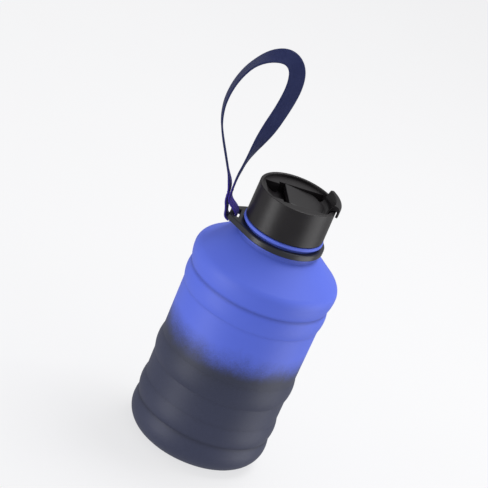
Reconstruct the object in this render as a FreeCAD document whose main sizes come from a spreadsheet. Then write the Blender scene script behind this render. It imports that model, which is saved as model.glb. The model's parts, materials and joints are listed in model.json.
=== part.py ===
"""Ribbed drinking jug with a screw cap, a folding drink lid and a carry strap.

The jug stands on z = 0 with its axis on Z. The strap's ear points along -X. The cap and all that rides
on it are drawn with the lid's thumb tab along +X and then turned about Z by lid_azimuth.
"""
import FreeCAD, Part
import math
import os
import re

import Sketcher
from FreeCAD import Vector

os.makedirs("parts", exist_ok=True)

# ---------------------------------------------------------------- driving sizes, mm and degrees
SIZES = {
    # shell, from the foot up
    "panel_radius": 49.8,          # plain walls between the ribs, carried down to z = 0
    "body_draft": 0.8,             # how much the shell widens on its way up
    "shell_wall": 1.2,
    "rib_rise": 1.4,               # how far each rib stands out of the plain wall
    "foot_round": 17.3,
    "base_crest_height": 17.9,
    "base_bulge_height": 25.5,
    "low_rib_height": 16.1,
    "low_panel_height": 17.8,
    "mid_rib_height": 17.4,
    "tall_panel_height": 43.4,
    "top_rib_height": 15.7,
    "shoulder_rise": 2.2,
    "shoulder_crest_height": 10.8,
    "shoulder_corner_height": 15.1,
    "shoulder_round": 8.6,
    "cone_angle": 38.8,
    "ledge_step": 0.9,             # what the strap collar rests on, past the track
    "ledge_height": 2.4,
    "ledge_round": 4.2,
    "track_radius": 27.5,          # the plain neck that the collar turns on; cap and sleeve follow it
    "track_height": 6.3,
    "bead_step": 2.3,
    "bead_height": 2.7,
    "bead_round": 0.9,
    # foot
    "foot_ring": 6.4,              # flat ring that the jug stands on
    "plate_overlap": 5.0,
    "plate_thickness": 1.0,
    "plate_dish": 2.2,
    "plate_crown": 12.0,           # radius of the dish's flat middle
    # threaded sleeve in the neck
    "sleeve_setback": 3.3,
    "sleeve_wall": 1.2,
    "sleeve_height": 12.9,
    "sleeve_tail": 5.0,
    "sleeve_flange": 1.6,
    "thread_pitch": 4.0,
    "thread_depth": 1.1,
    "thread_root": 1.7,
    "thread_crest": 0.8,
    "thread_length": 8.0,
    "thread_start": 3.2,
    "thread_play": 0.25,
    "liner_thread_length": 6.0,
    # strap collar
    "collar_play": 0.4,
    "collar_lift": 0.3,
    "collar_height": 4.4,
    "collar_band": 4.2,
    "ear_length": 7.4,
    "ear_flank": 48.0,             # where the ear's flanks leave the ring, from -X
    "ear_round": 3.0,
    "bar_width": 3.7,
    "slot_width": 3.6,
    "slot_length": 14.0,
    "collar_edge": 0.8,
    # strap
    "strap_width": 12.0,
    "strap_thickness": 1.4,
    "tack_width": 9.0,
    "tack_height": 1.6,
    "tack_thickness": 0.5,
    "tack_gap": 0.3,
    # cap
    "lid_azimuth": 16.0,
    "cap_gap": 0.4,
    "cap_setback": 0.7,            # how far the cap stays inside the bead
    "cap_draft": 0.2,
    "cap_wall": 2.0,
    "cap_edge": 0.6,
    "rim_wall": 2.2,
    "rim_depth": 2.3,
    "seal_thickness": 2.0,
    "seal_width": 2.2,
    "seal_gap": 0.1,
    "liner_setback": 0.6,
    "bond_gap": 0.05,              # glued or welded round faces stop this far short of each other
    # lid and what it folds into
    "flap_margin": 6.5,
    "flap_half_width": 14.7,
    "flap_end": 8.0,
    "flap_drop": 2.1,
    "flap_slope": 6.0,
    "flap_thickness": 2.8,
    "flap_edge": 0.5,
    "slab_spare": 1.0,             # drawn past the flap's round plan, then trimmed
    "flap_play": 0.6,
    "floor_play": 0.66,
    "deck_floor": 3.7,             # what is left of the deck under the flap
    "trough_step": 1.2,
    "trough_near": 2.2,
    "trough_far": 12.4,
    "pocket_half_width": 12.3,
    "pocket_margin": 3.5,
    "pocket_lip": 4.6,
    "hinge_offset": 5.5,
    "hinge_step": 0.6,
    "pin_radius": 1.5,
    "pin_play": 0.06,
    "pin_grip": 3.0,
    "knuckle_radius": 2.5,
    "tab_angle": 52.0,
    "tab_overhang": 2.6,
    "tab_rise": 4.4,
    "tab_hook": 3.4,
    "tab_wall": 2.0,
    "tab_gap": 0.8,
    "tab_crest_round": 3.2,
    "tab_sink": 0.1,
    "scoop_wall": 1.3,
    "scoop_depth": 5.9,
    "scoop_round": 3.0,
    # stopper and its hole
    "stopper_offset": 10.0,
    "stopper_radius": 5.6,
    "stopper_tip_radius": 4.9,
    "stopper_reach": 2.2,
    "stopper_flange": 7.4,
    "stopper_rest": 0.15,
    "stopper_flange_height": 1.1,
    "peg_radius": 2.0,
    "peg_length": 2.2,
    "drink_hole_radius": 6.1,
}

# ---------------------------------------------------------------- heights of the shell's ribs, from the foot
LOW_RIB = "base_bulge_height"
LOW_PANEL = LOW_RIB + " + low_rib_height"
MID_RIB = LOW_PANEL + " + low_panel_height"
TALL_PANEL = MID_RIB + " + mid_rib_height"
TOP_RIB = TALL_PANEL + " + tall_panel_height"
SHOULDER = TOP_RIB + " + top_rib_height"
SHOULDER_CORNER = SHOULDER + " + shoulder_corner_height"


def wall_radius(height):
    """The radius of the shell's plain wall at a height."""
    return f"(panel_radius + ({height}) * tan(body_draft * 1 deg))"


# ---------------------------------------------------------------- radii built up from those sizes
SHOULDER_RADIUS = f"({wall_radius(SHOULDER)} + shoulder_rise)"
BASE_RADIUS = f"({wall_radius('base_crest_height')} + rib_rise)"
BASE_OPENING = f"({BASE_RADIUS} - foot_round - foot_ring)"
LEDGE_RADIUS = "(track_radius + ledge_step)"
BEAD_RADIUS = "(track_radius + bead_step)"
SLEEVE_RADIUS = "(track_radius - sleeve_setback)"
COLLAR_RADIUS = "(track_radius + collar_play + collar_band)"
EAR_REACH = f"({COLLAR_RADIUS} + ear_length)"
BAR_CENTRE = f"({EAR_REACH} - bar_width / 2)"
CAP_RADIUS = f"({BEAD_RADIUS} - cap_setback)"
RIM_RADIUS = f"({CAP_RADIUS} - cap_draft)"
RIM_BORE = f"({RIM_RADIUS} - rim_wall)"
FLAP_RADIUS = f"({RIM_BORE} - flap_margin)"
CHANNEL_HALF = "(flap_half_width + flap_play)"
POCKET_REACH = f"({RIM_BORE} - pocket_margin)"
TAB_REACH = f"({RIM_RADIUS} + tab_overhang)"

# ---------------------------------------------------------------- heights of the neck, collar, cap and lid
NECK_CORNER = SHOULDER_CORNER + f" + ({SHOULDER_RADIUS} - {LEDGE_RADIUS}) * tan(cone_angle * 1 deg)"
LEDGE = NECK_CORNER + " + ledge_height"
BEAD = LEDGE + " + track_height"
SHELL_TOP = BEAD + " + bead_height"
NECK_TOP = SHELL_TOP + " + sleeve_height"
INNER_DROP = "shell_wall * tan(45 deg - cone_angle / 2 * 1 deg)"

COLLAR_BOTTOM = LEDGE + " + collar_lift"
BAR_HEIGHT = COLLAR_BOTTOM + " + collar_height / 2"

CAP_BOTTOM = SHELL_TOP + " + cap_gap"
SEAL_BOTTOM = NECK_TOP + " + seal_gap"
DECK_BOTTOM = SEAL_BOTTOM + " + seal_thickness + seal_gap"
CHANNEL_FLOOR = DECK_BOTTOM + " + deck_floor"
FLAP_FALL = f"(flap_end + {FLAP_RADIUS}) * tan(flap_slope * 1 deg)"
CHANNEL_DEPTH = f"(flap_drop + {FLAP_FALL} + flap_thickness + floor_play)"
RIM_TOP = f"{CHANNEL_FLOOR} + {CHANNEL_DEPTH}"
DECK_TOP = RIM_TOP + " - rim_depth"
TROUGH_FLOOR = CHANNEL_FLOOR + " - trough_step"
HINGE_HEIGHT = RIM_TOP + " - flap_drop - flap_thickness - hinge_step"
STOPPER_SEAT = CHANNEL_FLOOR + " + stopper_rest"
STOPPER_TOP = STOPPER_SEAT + " + stopper_flange_height"

# The strap's centre line in the plane y = 0, as (outward +X, up +Z) offsets from the ear's bar. It starts
# under the bar, climbs the outer side, goes round the big loop and comes back through the slot.
STRAP_ROUTE = [
    (-0.2, -3.8), (-3.7, -3.8), (-5.4, 4.2), (-7.9, 9.0), (-8.1, 17.5), (-14.4, 28.8),
    (-21.1, 40.4), (-27.7, 51.7), (-32.8, 62.4), (-35.6, 76.9), (-33.8, 94.1), (-27.7, 109.9),
    (-18.0, 120.8), (-6.6, 125.3), (2.1, 120.0), (5.3, 107.8), (4.4, 92.0), (1.3, 73.3),
    (-2.7, 53.7), (-5.7, 37.3), (-6.5, 26.1), (-6.4, 17.5), (-6.1, 9.0), (3.2, 3.6),
    (3.6, -3.8), (0.2, -3.8),
]
SEWN_FROM = 3                      # index of the route point where the sewn stretch starts, outer side
SEWN_BACK = 22                     # and of its mate on the inner side
ARC_SHARE = 0.45                   # how much of the shorter run each arc of the strap takes

doc = FreeCAD.newDocument("ribbed_jug")
sheet = doc.addObject("Spreadsheet::Sheet", "Sizes")
for row, (alias, number) in enumerate(SIZES.items(), start=1):
    sheet.set(f"A{row}", str(number))
    sheet.setAlias(f"A{row}", alias)
doc.recompute()


# ---------------------------------------------------------------- helpers
def bound(expression):
    """Point every size name in an expression at the sheet."""
    return re.sub(r"[a-z]+(_[a-z]+)+", lambda found: "Sizes." + found.group(), expression)


def value(expression):
    """The number that an expression has now."""
    number = sheet.evalExpression(bound(expression))
    return float(getattr(number, "Value", number))


def new_body(label, on_lid=False, along="0"):
    """A body named for its piece; one on the lid's side is turned to its azimuth and set along it."""
    body = doc.addObject("PartDesign::Body", label)
    body.Label = label
    if on_lid:
        body.Placement = FreeCAD.Placement(Vector(), FreeCAD.Rotation(Vector(0, 0, 1), value("lid_azimuth")))
        body.setExpression("Placement.Rotation.Angle", bound("lid_azimuth * 1 deg"))
        body.setExpression("Placement.Base.x", bound(f"({along}) * cos(lid_azimuth * 1 deg)"))
        body.setExpression("Placement.Base.y", bound(f"({along}) * sin(lid_azimuth * 1 deg)"))
    return body


def new_sketch(body, name, role, height=None):
    """An empty sketch on one of the body's own origin planes, raised by height."""
    sketch = body.newObject("Sketcher::SketchObject", name)
    plane = next(item for item in body.Origin.OriginFeatures if item.Role == role)
    sketch.AttachmentSupport = [(plane, "")]
    sketch.MapMode = "FlatFace"
    if height:
        sketch.setExpression("AttachmentOffset.Base.z", bound(height))
    return sketch


def constrain(sketch, kind, *what, size=None):
    """Add one constraint, driven by an expression when it has a size."""
    if size is None:
        return sketch.addConstraint(Sketcher.Constraint(kind, *what))
    index = sketch.addConstraint(Sketcher.Constraint(kind, *what, value(size)))
    sketch.setExpression(f"Constraints[{index}]", bound(size))
    return index


def mark(sketch, across, up):
    """A construction point held at (across, up) from the sketch's origin."""
    point = sketch.addGeometry(Part.Point(Vector(value(across), value(up), 0)), True)
    for kind, axis, size in (("DistanceX", -2, across), ("DistanceY", -1, up)):
        if size == "0":
            constrain(sketch, "PointOnObject", point, 1, axis)
        else:
            constrain(sketch, kind, -1, 1, point, 1, size=size)
    return point


class Corner:
    """One corner of an outline: its place, its rounding, and where an arc to the next corner passes."""

    def __init__(self, across, up, rounding=None, via=None):
        self.across, self.up, self.rounding, self.via = across, up, rounding, via


def outline(sketch, corners):
    """Draw a closed outline whose corners, arcs and roundings all follow the sheet."""
    count = len(corners)
    places = [Vector(value(corner.across), value(corner.up), 0) for corner in corners]
    marks = [mark(sketch, corner.across, corner.up) for corner in corners]
    arrive, leave, rounds = list(places), list(places), {}
    for i, corner in enumerate(corners):
        if corner.rounding is None:
            continue
        back = (places[i - 1] - places[i]).normalize()
        ahead = (places[(i + 1) % count] - places[i]).normalize()
        half = back.getAngle(ahead) / 2
        radius = value(corner.rounding)
        arrive[i] = places[i] + back * (radius / math.tan(half))
        leave[i] = places[i] + ahead * (radius / math.tan(half))
        inward = (back + ahead).normalize()
        middle = places[i] + inward * (radius / math.sin(half) - radius)
        rounds[i] = sketch.addGeometry(Part.Arc(arrive[i], middle, leave[i]), False)
    edges = []
    for i, corner in enumerate(corners):
        start, end = leave[i], arrive[(i + 1) % count]
        if corner.via is None:
            edges.append((sketch.addGeometry(Part.LineSegment(start, end), False), 1, 2))
            continue
        passed = Vector(value(corner.via[0]), value(corner.via[1]), 0)
        arc = sketch.addGeometry(Part.Arc(start, passed, end), False)
        forward = (sketch.getPoint(arc, 1) - start).Length < (sketch.getPoint(arc, 2) - start).Length
        edges.append((arc, 1, 2) if forward else (arc, 2, 1))
        constrain(sketch, "PointOnObject", mark(sketch, *corner.via), 1, arc)
    for i in range(count):
        before, before_end = edges[i - 1][0], edges[i - 1][2]
        after, after_end = edges[i][0], edges[i][1]
        if i not in rounds:
            constrain(sketch, "Coincident", before, before_end, marks[i], 1)
            constrain(sketch, "Coincident", after, after_end, marks[i], 1)
            continue
        arc = rounds[i]
        forward = (sketch.getPoint(arc, 1) - arrive[i]).Length < (sketch.getPoint(arc, 2) - arrive[i]).Length
        constrain(sketch, "PointOnObject", marks[i], 1, before)
        constrain(sketch, "PointOnObject", marks[i], 1, after)
        constrain(sketch, "Tangent", before, before_end, arc, 1 if forward else 2)
        constrain(sketch, "Tangent", arc, 2 if forward else 1, after, after_end)
        constrain(sketch, "Radius", arc, size=corners[i].rounding)
    return sketch


def circle(sketch, across, up, radius):
    """Draw a circle whose centre and radius follow the sheet."""
    centre = mark(sketch, across, up)
    place = Vector(value(across), value(up), 0)
    ring = sketch.addGeometry(Part.Circle(place, Vector(0, 0, 1), value(radius)), False)
    constrain(sketch, "Coincident", ring, 3, centre, 1)
    constrain(sketch, "Radius", ring, size=radius)
    return sketch


def turned(body, name, corners, kind="PartDesign::Revolution"):
    """Turn an outline in the XZ plane all the way round Z, to add or to cut."""
    sketch = outline(new_sketch(body, name + "_outline", "XZ_Plane"), corners)
    feature = body.newObject(kind, name)
    feature.Profile = sketch
    feature.ReferenceAxis = (sketch, ["V_Axis"])
    feature.Angle = 360
    doc.recompute()
    return feature


def extruded(body, name, sketch, length, kind="PartDesign::Pad", symmetric=False):
    """Pad or pocket a sketch by a length; a pocket goes down from its sketch."""
    feature = body.newObject(kind, name)
    feature.Profile = sketch
    feature.SideType = "Symmetric" if symmetric else "One side"
    feature.setExpression("Length", bound(length))
    doc.recompute()
    return feature


def rounded(body, name, radius, picks):
    """Round the edges of the body so far that picks(edge) accepts."""
    base = body.Tip
    names = [f"Edge{i}" for i, edge in enumerate(base.Shape.Edges, start=1) if picks(edge)]
    feature = body.newObject("PartDesign::Fillet", name)
    feature.Base = (base, names)
    feature.setExpression("Radius", bound(radius))
    doc.recompute()
    return feature


def level(edge, height):
    """True for an edge that lies flat at a height."""
    box = edge.BoundBox
    return box.ZLength < 0.01 and abs(box.ZMin - value(height)) < 0.01


def thread(body, name, root, crest, centre, length):
    """A right-hand helical ridge between two radii, starting at a height."""
    sketch = new_sketch(body, name + "_tooth", "XZ_Plane")
    outline(sketch, [
        Corner(root, f"{centre} - thread_root / 2"),
        Corner(crest, f"{centre} - thread_crest / 2"),
        Corner(crest, f"{centre} + thread_crest / 2"),
        Corner(root, f"{centre} + thread_root / 2"),
    ])
    ridge = body.newObject("PartDesign::AdditiveHelix", name)
    ridge.Profile = sketch
    ridge.ReferenceAxis = (sketch, ["V_Axis"])
    ridge.Mode = "pitch-height-angle"
    ridge.setExpression("Pitch", bound("thread_pitch"))
    ridge.setExpression("Height", bound(length))
    doc.recompute()
    return ridge


# ---------------------------------------------------------------- the jug
def bottle_shell():
    """Spun shell: rounded foot, three ribs, shoulder, cone, neck ledge and bead, hollowed by its wall."""
    body = new_body("bottle_shell")
    bulge_mid = "(base_crest_height + base_bulge_height) / 2"
    shoulder_mid = f"{SHOULDER} + shoulder_crest_height / 2"

    def rib(bottom, height, inset):
        """The two corners of a rib, joined by its arc."""
        middle, top = f"{bottom} + {height} / 2", f"{bottom} + {height}"
        return [
            Corner(f"{wall_radius(bottom)} - {inset}", bottom,
                   via=(f"{wall_radius(middle)} + rib_rise - {inset}", middle)),
            Corner(f"{wall_radius(top)} - {inset}", top),
        ]

    def wall(inset, floor, opening, foot_round, shoulder_round, drop):
        """The shell's line from its foot to the shoulder, moved inward by inset."""
        return [
            Corner(opening, floor),
            Corner(f"{BASE_RADIUS} - {inset}", floor, rounding=foot_round),
            Corner(f"{BASE_RADIUS} - {inset}", "base_crest_height",
                   via=(f"{BASE_RADIUS} - rib_rise / 4 - {inset}", bulge_mid)),
            *rib(LOW_RIB, "low_rib_height", inset),
            *rib(MID_RIB, "mid_rib_height", inset),
            *rib(TOP_RIB, "top_rib_height", inset)[:1],
            Corner(f"{wall_radius(SHOULDER)} - {inset}", SHOULDER,
                   via=(f"{SHOULDER_RADIUS} - shoulder_rise / 4 - {inset}", shoulder_mid)),
            Corner(f"{SHOULDER_RADIUS} - {inset}", f"{SHOULDER} + shoulder_crest_height"),
            Corner(f"{SHOULDER_RADIUS} - {inset}", f"{SHOULDER_CORNER} - {drop}", rounding=shoulder_round),
        ]

    outer = wall("0", "0", BASE_OPENING, "foot_round", "shoulder_round", "0")
    turned(body, "outside", outer + [
        Corner(LEDGE_RADIUS, NECK_CORNER, rounding="ledge_round"),
        Corner(LEDGE_RADIUS, LEDGE),
        Corner("track_radius", LEDGE),
        Corner("track_radius", BEAD),
        Corner(BEAD_RADIUS, BEAD, rounding="bead_round"),
        Corner(BEAD_RADIUS, SHELL_TOP, rounding="bead_round"),
        Corner(f"{SLEEVE_RADIUS} + bond_gap", SHELL_TOP),
    ])
    inner = wall("shell_wall", "shell_wall", f"{SLEEVE_RADIUS} / 2", "foot_round - shell_wall",
                 "shoulder_round - shell_wall", INNER_DROP)
    turned(body, "hollow", inner + [
        Corner("track_radius - shell_wall",
               f"{NECK_CORNER} + ({LEDGE_RADIUS} - track_radius) * tan(cone_angle * 1 deg) - {INNER_DROP}",
               rounding="ledge_round + shell_wall"),
        Corner("track_radius - shell_wall", f"{SHELL_TOP} - shell_wall"),
        Corner(f"{SLEEVE_RADIUS} / 2", f"{SHELL_TOP} - shell_wall"),
    ], kind="PartDesign::Groove")
    return body


def base_plate():
    """Dished disc that closes the foot, resting on the shell's turned-in lip."""
    body = new_body("base_plate")
    edge = f"{BASE_OPENING} + plate_overlap"
    bottom = "shell_wall"
    top = "shell_wall + plate_thickness"
    turned(body, "dish", [
        Corner("0", f"{bottom} + plate_dish"),
        Corner("plate_crown", f"{bottom} + plate_dish", rounding="plate_crown / 2"),
        Corner(BASE_OPENING, bottom),
        Corner(edge, bottom),
        Corner(edge, top),
        Corner(BASE_OPENING, top),
        Corner("plate_crown", f"{top} + plate_dish", rounding="plate_crown / 2"),
        Corner("0", f"{top} + plate_dish"),
    ])
    return body


def neck_finish():
    """Sleeve with the outside thread, held by its flange under the top of the shell."""
    body = new_body("neck_finish")
    bore = f"{SLEEVE_RADIUS} - sleeve_wall"
    flange_top = f"{SHELL_TOP} - shell_wall"
    turned(body, "sleeve", [
        Corner(bore, f"{SHELL_TOP} - sleeve_tail"),
        Corner(SLEEVE_RADIUS, f"{SHELL_TOP} - sleeve_tail"),
        Corner(SLEEVE_RADIUS, f"{flange_top} - shell_wall"),
        Corner(f"{SLEEVE_RADIUS} + sleeve_flange", f"{flange_top} - shell_wall"),
        Corner(f"{SLEEVE_RADIUS} + sleeve_flange", flange_top),
        Corner(SLEEVE_RADIUS, flange_top),
        Corner(SLEEVE_RADIUS, NECK_TOP),
        Corner(bore, NECK_TOP),
    ])
    thread(body, "outside_thread", f"{SLEEVE_RADIUS} - sleeve_wall / 4", f"{SLEEVE_RADIUS} + thread_depth",
           f"{SHELL_TOP} + thread_start", "thread_length")
    return body


def strap_collar():
    """Flat ring round the neck with a tapering ear, whose outer bar carries the strap."""
    body = new_body("strap_collar")
    ring = circle(new_sketch(body, "ring_outline", "XY_Plane", COLLAR_BOTTOM), "0", "0", COLLAR_RADIUS)
    extruded(body, "ring", ring, "collar_height")
    flank_x = f"-{COLLAR_RADIUS} * cos(ear_flank * 1 deg)"
    flank_y = f"{COLLAR_RADIUS} * sin(ear_flank * 1 deg)"
    end_y = f"({COLLAR_RADIUS} - {EAR_REACH} * cos(ear_flank * 1 deg)) / sin(ear_flank * 1 deg)"
    ear = outline(new_sketch(body, "ear_outline", "XY_Plane", COLLAR_BOTTOM), [
        Corner(flank_x, flank_y),
        Corner(f"-{EAR_REACH}", end_y, rounding="ear_round"),
        Corner(f"-{EAR_REACH}", f"-({end_y})", rounding="ear_round"),
        Corner(flank_x, f"-({flank_y})"),
    ])
    extruded(body, "ear", ear, "collar_height")
    top = f"{COLLAR_BOTTOM} + collar_height"
    bore = circle(new_sketch(body, "bore_outline", "XY_Plane", top), "0", "0", "track_radius + collar_play")
    extruded(body, "bore", bore, "collar_height", kind="PartDesign::Pocket")
    near, far = f"-({EAR_REACH} - bar_width - slot_width)", f"-({EAR_REACH} - bar_width)"
    slot = outline(new_sketch(body, "slot_outline", "XY_Plane", top), [
        Corner(near, "slot_length / 2", rounding="slot_width / 4"),
        Corner(near, "-slot_length / 2", rounding="slot_width / 4"),
        Corner(far, "-slot_length / 2", rounding="slot_width / 4"),
        Corner(far, "slot_length / 2", rounding="slot_width / 4"),
    ])
    extruded(body, "slot", slot, "collar_height", kind="PartDesign::Pocket")
    rounded(body, "soft_edges", "collar_edge", lambda edge: level(edge, top) or level(edge, COLLAR_BOTTOM))
    return body


# ---------------------------------------------------------------- the cap
def cap_seal():
    """Silicone washer between the neck's top and the cap's deck."""
    body = new_body("cap_seal")
    inner = f"{SLEEVE_RADIUS} - sleeve_wall"
    turned(body, "washer", [
        Corner(inner, SEAL_BOTTOM),
        Corner(f"{inner} + seal_width", SEAL_BOTTOM),
        Corner(f"{inner} + seal_width", f"{SEAL_BOTTOM} + seal_thickness"),
        Corner(inner, f"{SEAL_BOTTOM} + seal_thickness"),
    ])
    return body


def cap_liner():
    """Sleeve with the inside thread, bonded into the cap's skirt; its ridge runs between the neck's."""
    body = new_body("cap_liner")
    outer = f"{CAP_RADIUS} - cap_wall - bond_gap"
    bore = f"{SLEEVE_RADIUS} + thread_depth + thread_play"
    turned(body, "sleeve", [
        Corner(bore, f"{CAP_BOTTOM} + liner_setback"),
        Corner(outer, f"{CAP_BOTTOM} + liner_setback"),
        Corner(outer, DECK_BOTTOM),
        Corner(bore, DECK_BOTTOM),
    ])
    thread(body, "inside_thread", f"{bore} + thread_play", f"{SLEEVE_RADIUS} + thread_play",
           f"{SHELL_TOP} + thread_start + thread_pitch / 2", "liner_thread_length")
    return body


def screw_cap():
    """Skirt, deck and raised rim; the deck holds the lid's channel, hinge trough and finger pocket."""
    body = new_body("screw_cap", on_lid=True)
    skirt = f"{CAP_RADIUS} - cap_wall"
    turned(body, "cover", [
        Corner(skirt, CAP_BOTTOM),
        Corner(CAP_RADIUS, CAP_BOTTOM, rounding="cap_edge"),
        Corner(RIM_RADIUS, RIM_TOP, rounding="cap_edge"),
        Corner(RIM_BORE, RIM_TOP, rounding="cap_edge"),
        Corner(RIM_BORE, DECK_TOP),
        Corner("0", DECK_TOP),
        Corner("0", DECK_BOTTOM),
        Corner(skirt, DECK_BOTTOM),
    ])
    end = f"sqrt(({RIM_BORE})^2 - ({CHANNEL_HALF})^2)"
    channel = outline(new_sketch(body, "channel_outline", "XY_Plane", DECK_TOP), [
        Corner("-trough_near", f"-({CHANNEL_HALF})"),
        Corner(end, f"-({CHANNEL_HALF})", via=(RIM_BORE, "0")),
        Corner(end, CHANNEL_HALF),
        Corner("-trough_near", CHANNEL_HALF),
    ])
    extruded(body, "channel", channel, f"({DECK_TOP}) - ({CHANNEL_FLOOR})", kind="PartDesign::Pocket")
    trough = outline(new_sketch(body, "trough_outline", "XY_Plane", DECK_TOP), [
        Corner("-trough_far", f"-({CHANNEL_HALF})"),
        Corner("-trough_near", f"-({CHANNEL_HALF})"),
        Corner("-trough_near", CHANNEL_HALF),
        Corner("-trough_far", CHANNEL_HALF),
    ])
    extruded(body, "hinge_trough", trough, f"({DECK_TOP}) - ({TROUGH_FLOOR})", kind="PartDesign::Pocket")
    pocket = outline(new_sketch(body, "pocket_outline", "XZ_Plane"), [
        Corner("-trough_far + flap_play", TROUGH_FLOOR),
        Corner("-trough_far + flap_play", f"{DECK_TOP} + rim_depth / 4"),
        Corner(f"-{POCKET_REACH}", f"{DECK_TOP} + rim_depth / 4"),
        Corner(f"-{POCKET_REACH}", f"{DECK_TOP} - rim_depth / 4",
               via=(f"-{POCKET_REACH} + pocket_lip", f"{TROUGH_FLOOR} + trough_near")),
        Corner("-trough_far - trough_near", TROUGH_FLOOR),
    ])
    extruded(body, "finger_pocket", pocket, "pocket_half_width * 2", kind="PartDesign::Pocket", symmetric=True)
    hole = circle(new_sketch(body, "drink_hole_outline", "XY_Plane", DECK_TOP),
                  "stopper_offset", "0", "drink_hole_radius")
    extruded(body, "drink_hole", hole, f"({DECK_TOP}) - ({DECK_BOTTOM})", kind="PartDesign::Pocket")
    seat = circle(new_sketch(body, "pin_seat_outline", "XZ_Plane"),
                  "-hinge_offset", HINGE_HEIGHT, "pin_radius + pin_play")
    extruded(body, "pin_seats", seat, f"({CHANNEL_HALF} + pin_grip) * 2", kind="PartDesign::Pocket",
             symmetric=True)
    return body


def flip_lid():
    """Sloping drink flap with its hinge knuckle, stopper boss and a thumb tab curled over the rim."""
    body = new_body("flip_lid", on_lid=True)
    left_top = f"{RIM_TOP} - flap_drop"
    fall = "tan(flap_slope * 1 deg)"
    run = f"{FLAP_RADIUS} + slab_spare"
    right_top = f"{left_top} - (flap_end + {run}) * {fall}"
    slab = outline(new_sketch(body, "slab_outline", "XZ_Plane"), [
        Corner("-flap_end", left_top),
        Corner("-flap_end", f"{left_top} - flap_thickness"),
        Corner(run, f"{right_top} - flap_thickness"),
        Corner(run, right_top),
    ])
    extruded(body, "slab", slab, "flap_half_width * 2", symmetric=True)
    trim = new_sketch(body, "plan_outline", "XY_Plane", RIM_TOP)
    circle(trim, "0", "0", FLAP_RADIUS)
    circle(trim, "0", "0", f"{FLAP_RADIUS} * 2")
    extruded(body, "round_plan", trim, f"{CHANNEL_DEPTH} * 2", kind="PartDesign::Pocket")

    def on_top(edge):
        """True for an edge that lies in the flap's sloping top."""
        centre = edge.CenterOfMass
        return abs(centre.z - value(left_top) + (value("flap_end") + centre.x) * value(fall)) < 0.02

    rounded(body, "flap_edges", "flap_edge", on_top)
    knuckle = circle(new_sketch(body, "knuckle_outline", "XZ_Plane"),
                     "-hinge_offset", HINGE_HEIGHT, "knuckle_radius")
    extruded(body, "knuckle", knuckle, "flap_half_width * 2", symmetric=True)
    boss = circle(new_sketch(body, "boss_outline", "XY_Plane", STOPPER_TOP),
                  "stopper_offset", "0", "stopper_flange")
    extruded(body, "boss", boss, "flap_thickness / 2")

    under = f"{CHANNEL_FLOOR} + flap_play"
    inside = f"{RIM_BORE} - tab_gap"
    outside = f"{RIM_RADIUS} + tab_gap + cap_draft"
    over = f"{RIM_TOP} + tab_gap"
    crest = f"{RIM_TOP} + tab_rise"
    tip = f"{RIM_TOP} - tab_hook"
    sketch = outline(new_sketch(body, "tab_outline", "XZ_Plane"), [
        Corner(f"{FLAP_RADIUS} - flap_thickness", under),
        Corner(inside, under, rounding="tab_wall"),
        Corner(inside, over, rounding="tab_wall"),
        Corner(outside, over, rounding="tab_gap"),
        Corner(outside, tip),
        Corner(TAB_REACH, tip),
        Corner(TAB_REACH, crest, rounding="tab_crest_round"),
        Corner(f"{inside} + tab_gap", crest, rounding="flap_edge"),
        Corner(f"{inside} - scoop_wall", f"{over} - tab_wall", rounding="tab_wall"),
        Corner(f"{inside} - scoop_wall - flap_edge", f"{RIM_TOP} - scoop_depth", rounding="scoop_round"),
        Corner(f"{FLAP_RADIUS} - flap_edge", f"{right_top} + (slab_spare + flap_edge) * {fall} - tab_sink"),
        Corner(f"{FLAP_RADIUS} - flap_thickness", f"{right_top} - flap_edge"),
    ])
    tab = body.newObject("PartDesign::Revolution", "thumb_tab")
    tab.Profile = sketch
    tab.ReferenceAxis = (sketch, ["V_Axis"])
    tab.Midplane = True
    tab.setExpression("Angle", bound("tab_angle * 1 deg"))
    doc.recompute()
    recess = circle(new_sketch(body, "stopper_recess_outline", "XY_Plane", STOPPER_TOP),
                    "stopper_offset", "0", "stopper_flange + bond_gap")
    extruded(body, "stopper_recess", recess, "flap_thickness", kind="PartDesign::Pocket")
    peg = circle(new_sketch(body, "peg_outline", "XY_Plane", f"{STOPPER_TOP} - peg_length + bond_gap"),
                 "stopper_offset", "0", "peg_radius")
    extruded(body, "peg", peg, "peg_length + flap_thickness / 4")
    bore = circle(new_sketch(body, "pin_bore_outline", "XZ_Plane"),
                  "-hinge_offset", HINGE_HEIGHT, "pin_radius + pin_play")
    extruded(body, "pin_bore", bore, "flap_half_width * 4", kind="PartDesign::Pocket", symmetric=True)
    return body


def lid_hinge_pin():
    """Pin along the lid's hinge, gripped by the deck at both ends."""
    body = new_body("lid_hinge_pin", on_lid=True)
    section = circle(new_sketch(body, "pin_outline", "XZ_Plane"), "-hinge_offset", HINGE_HEIGHT, "pin_radius")
    extruded(body, "pin", section, f"({CHANNEL_HALF} + pin_grip) * 2 - pin_play * 2", symmetric=True)
    return body


def spout_stopper():
    """Silicone stopper: a flange that seats round the drink hole and a tapered plug that enters it."""
    body = new_body("spout_stopper", on_lid=True, along="stopper_offset")
    turned(body, "stopper", [
        Corner("0", f"{STOPPER_TOP} - peg_length"),
        Corner("peg_radius + bond_gap", f"{STOPPER_TOP} - peg_length"),
        Corner("peg_radius + bond_gap", STOPPER_TOP),
        Corner("stopper_flange", STOPPER_TOP),
        Corner("stopper_flange", STOPPER_SEAT),
        Corner("stopper_radius", STOPPER_SEAT),
        Corner("stopper_tip_radius", f"{CHANNEL_FLOOR} - stopper_reach"),
        Corner("0", f"{CHANNEL_FLOOR} - stopper_reach"),
    ])
    return body


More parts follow.
